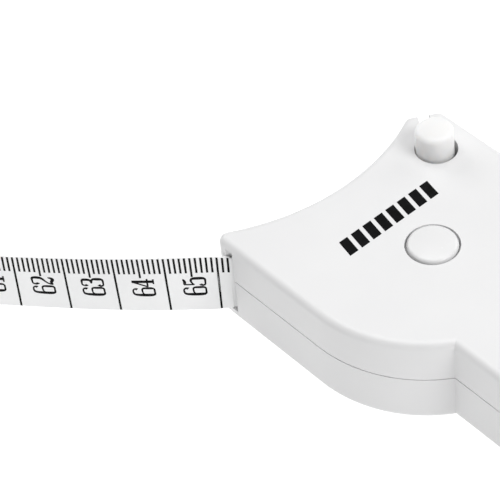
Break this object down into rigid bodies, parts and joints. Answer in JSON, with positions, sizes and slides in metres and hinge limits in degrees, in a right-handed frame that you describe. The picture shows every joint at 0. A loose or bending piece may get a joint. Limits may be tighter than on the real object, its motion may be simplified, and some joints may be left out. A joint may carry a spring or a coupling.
{
  "type": "body tape measure",
  "caption": "Retractable body tape measure: a Y-shaped white case with a handle, a centre release button, a tape leaving one arm and a lock pin in the other.",
  "frame": {"origin": "on the drum's axis, at the case's flat back face", "axes": "+Z out of the face with the button; +Y from the handle to the curved seat between the arms; +X to the arm with the lock pin"},
  "size_m": [0.1255, 0.2433, 0.0253],
  "materials": {
    "case_white": "satin-gloss moulded ABS",
    "button_white": "glossy moulded ABS",
    "pin_white": "glossy moulded ABS",
    "fitting_white": "moulded ABS",
    "tape_vinyl": "printed vinyl over glass fibre, soft sheen",
    "inner_nylon": "moulded nylon",
    "drum_grey": "moulded acetal, grey",
    "washer_acetal": "turned acetal",
    "brake_rubber": "matt nitrile rubber",
    "spring_steel": "tempered spring steel",
    "pin_steel": "ground steel",
    "screw_zinc": "zinc-plated steel",
    "rivet_nickel": "nickel-plated"
  },
  "bodies": {
    "case": {"bottom_shell": "case_white", "top_shell": "case_white", "case_screws": "screw_zinc", "spring_arbor": "inner_nylon", "thrust_washer": "washer_acetal", "roller_pin": "pin_steel", "inner_tape": "tape_vinyl", "drawn_tape": "tape_vinyl", "tape_roll": "tape_vinyl", "tape_tail": "tape_vinyl", "end_sleeve": "fitting_white", "end_rivets": "rivet_nickel"},
    "button": {"release_button": "button_white", "brake_plate": "inner_nylon", "brake_pad": "brake_rubber", "button_spring": "spring_steel"},
    "drum": {"tape_drum": "drum_grey", "drum_cover": "drum_grey", "spring_cover": "drum_grey", "mainspring": "spring_steel", "wound_tape": "tape_vinyl"},
    "roller": {"guide_roller": "washer_acetal"},
    "pin": {"lock_pin": "pin_white"}
  },
  "joints": [
    {"name": "button_press", "type": "slide", "parent": "case", "child": "button", "axis": [0, 0, -1], "range_m": [0, 0.0016], "stiffness_N_per_m": 500, "springref_m": -0.003, "deforming": ["button_spring"]},
    {"name": "drum_spin", "type": "hinge", "parent": "case", "child": "drum", "pos_m": [0, 0, 0.01], "axis": [0, 0, 1], "continuous": true, "deforming": ["mainspring"]},
    {"name": "roller_spin", "type": "hinge", "parent": "case", "child": "roller", "pos_m": [-0.0222, 0.01988, 0.01], "axis": [0, 0, 1], "continuous": true},
    {"name": "pin_lift", "type": "slide", "parent": "case", "child": "pin", "axis": [0, 0, 1], "range_m": [0, 0.022]}
  ],
  "couplings": [
    {"joint": "roller_spin", "follows": "drum_spin", "ratio": -6.0965}
  ]
}
